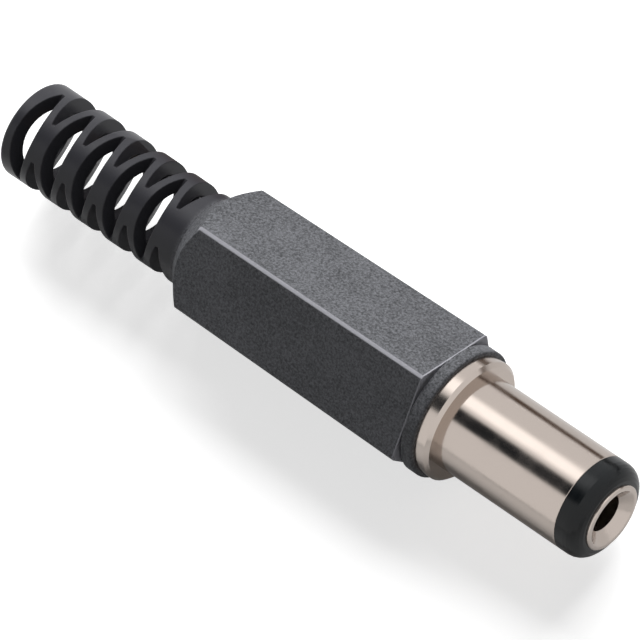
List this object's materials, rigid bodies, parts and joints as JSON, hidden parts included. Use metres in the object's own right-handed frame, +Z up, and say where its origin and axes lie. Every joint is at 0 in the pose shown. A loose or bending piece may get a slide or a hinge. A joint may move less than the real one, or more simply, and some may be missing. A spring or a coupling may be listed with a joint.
{
  "type": "dc barrel plug",
  "caption": "Straight DC barrel plug with plated sleeve, black insulated nose, five-sided screw-on handle and slotted bend relief.",
  "frame": {"origin": "on the plug's axis, at the front face of the flange", "axes": "+X along the barrel, towards the tip; +Z up, with the handle lying on one flat"},
  "size_m": [0.0407, 0.008, 0.0079],
  "materials": {
    "black_moulding": "spark-eroded matte on the grip, smoother on the bend relief",
    "nickel_plate": "bright nickel plate on turned brass",
    "black_bush": "glossy moulded",
    "brown_board": "pressed fibre",
    "tinned_brass": "tinned sheet, stamped"
  },
  "bodies": {
    "contacts": {"sleeve_contact": "nickel_plate", "nose_insulator": "black_bush", "centre_contact": "nickel_plate", "rear_washer": "brown_board", "sleeve_tag": "tinned_brass", "centre_tag": "tinned_brass"},
    "handle": {"handle": "black_moulding"}
  },
  "joints": [
    {"name": "handle_draw", "type": "slide", "parent": "contacts", "child": "handle", "axis": [-1, 0, 0], "range_m": [0, 0.02]}
  ]
}
